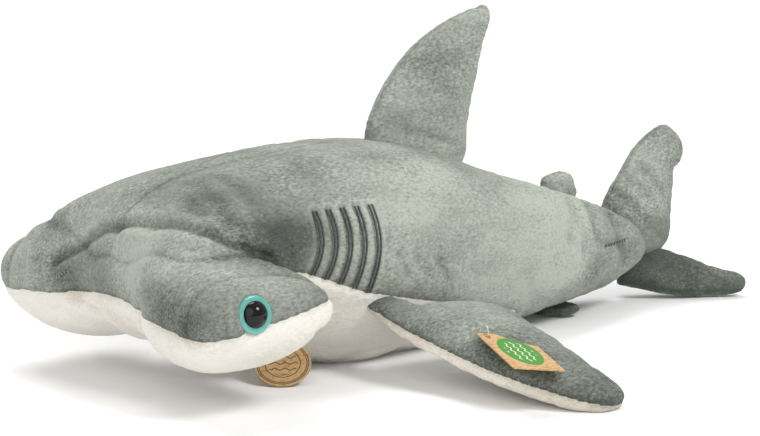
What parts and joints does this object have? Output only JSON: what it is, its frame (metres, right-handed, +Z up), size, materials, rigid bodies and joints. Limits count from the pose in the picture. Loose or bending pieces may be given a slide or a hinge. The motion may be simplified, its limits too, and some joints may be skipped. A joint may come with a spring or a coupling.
{
  "type": "plush hammerhead shark",
  "caption": "Stuffed hammerhead shark toy with grey back, white belly, wide hammer head, teal ringed eyes, stitched gill slits, sewn fins and two hang tags.",
  "frame": {"origin": "on the ground, under the middle of the bounding box", "axes": "+Y runs from the nose to the tail, +X is the shark's left side, +Z is up"},
  "size_m": [0.5234, 0.6107, 0.2535],
  "materials": {
    "grey_plush": "short-pile minky, brushed",
    "white_plush": "short-pile minky, brushed",
    "stuffing": "loose polyester fibre",
    "grey_thread": "polyester thread",
    "eye_teal": "satin moulded plastic",
    "eye_black": "polished moulded plastic",
    "washer_plastic": "plain moulded plastic",
    "kraft_card": "uncoated brown card with a printed pattern",
    "clear_nylon": "clear drawn nylon"
  },
  "bodies": {
    "body": {"back_panel_left": "grey_plush", "back_panel_right": "grey_plush", "belly_panel": "white_plush", "body_stuffing": "stuffing", "head_top_panel": "grey_plush", "head_underside_panel": "white_plush", "eye_panel_left": "grey_plush", "eye_panel_right": "grey_plush", "eye_ring_left": "eye_teal", "eye_ring_right": "eye_teal", "eye_pupil_left": "eye_black", "eye_pupil_right": "eye_black", "eye_washer_left": "washer_plastic", "eye_washer_right": "washer_plastic", "gill_stitches_left": "grey_thread", "gill_stitches_right": "grey_thread", "closing_seam_stitches": "grey_thread", "round_tag_loop": "clear_nylon"},
    "dorsal_fin": {"dorsal_fin_left_panel": "grey_plush", "dorsal_fin_right_panel": "grey_plush", "dorsal_fin_stuffing": "stuffing"},
    "second_dorsal_fin": {"second_dorsal_left_panel": "grey_plush", "second_dorsal_right_panel": "grey_plush", "second_dorsal_stuffing": "stuffing"},
    "pectoral_fin_left": {"pectoral_left_upper_panel": "grey_plush", "pectoral_left_lower_panel": "white_plush", "pectoral_left_stuffing": "stuffing", "card_tag_loop": "clear_nylon"},
    "pectoral_fin_right": {"pectoral_right_upper_panel": "grey_plush", "pectoral_right_lower_panel": "white_plush", "pectoral_right_stuffing": "stuffing"},
    "ventral_fin": {"ventral_fin_upper_panel": "grey_plush", "ventral_fin_lower_panel": "grey_plush", "ventral_fin_stuffing": "stuffing"},
    "tail_fin": {"tail_upper_left": "grey_plush", "tail_upper_right": "grey_plush", "tail_upper_stuffing": "stuffing", "tail_lower_topside": "grey_plush", "tail_lower_underside": "grey_plush", "tail_lower_stuffing": "stuffing"},
    "round_tag": {"round_tag": "kraft_card"},
    "card_tag": {"card_tag": "kraft_card"}
  },
  "joints": [
    {"name": "dorsal_flex", "type": "hinge", "parent": "body", "child": "dorsal_fin", "pos_m": [0, -0.06899, 0.17234], "axis": [0, 0.9594, -0.2821], "range_deg": [-45, 45], "stiffness_Nm_per_rad": 0.1},
    {"name": "second_dorsal_flex", "type": "hinge", "parent": "body", "child": "second_dorsal_fin", "pos_m": [0, 0.11283, 0.11437], "axis": [0, 0.9292, -0.3697], "range_deg": [-40, 40], "stiffness_Nm_per_rad": 0.002},
    {"name": "pectoral_left_flap", "type": "hinge", "parent": "body", "child": "pectoral_fin_left", "pos_m": [0.10044, -0.1375, 0.04546], "axis": [-0.0355, -0.9952, 0.0914], "range_deg": [0, 55], "stiffness_Nm_per_rad": 0.1},
    {"name": "pectoral_right_flap", "type": "hinge", "parent": "body", "child": "pectoral_fin_right", "pos_m": [-0.10044, -0.1375, 0.04546], "axis": [-0.0355, 0.9952, -0.0914], "range_deg": [0, 55], "stiffness_Nm_per_rad": 0.1},
    {"name": "ventral_flap", "type": "hinge", "parent": "body", "child": "ventral_fin", "pos_m": [0.004, 0.0995, 0.0036], "axis": [0, 0.995, 0.1], "range_deg": [0, 85], "stiffness_Nm_per_rad": 0.002},
    {"name": "tail_sway", "type": "hinge", "parent": "body", "child": "tail_fin", "pos_m": [0, 0.2045, 0.045], "axis": [0, 0, 1], "range_deg": [-25, 25], "stiffness_Nm_per_rad": 0.05},
    {"name": "round_tag_swing", "type": "hinge", "parent": "body", "child": "round_tag", "pos_m": [0.04497, -0.17786, 0.02315], "axis": [-0.6428, -0.766, 0], "range_deg": [0, 30]},
    {"name": "card_tag_lift", "type": "hinge", "parent": "pectoral_fin_left", "child": "card_tag", "pos_m": [0.17389, -0.10742, 0.04302], "axis": [-0.2846, -0.9479, 0.1433], "range_deg": [0, 35]}
  ]
}
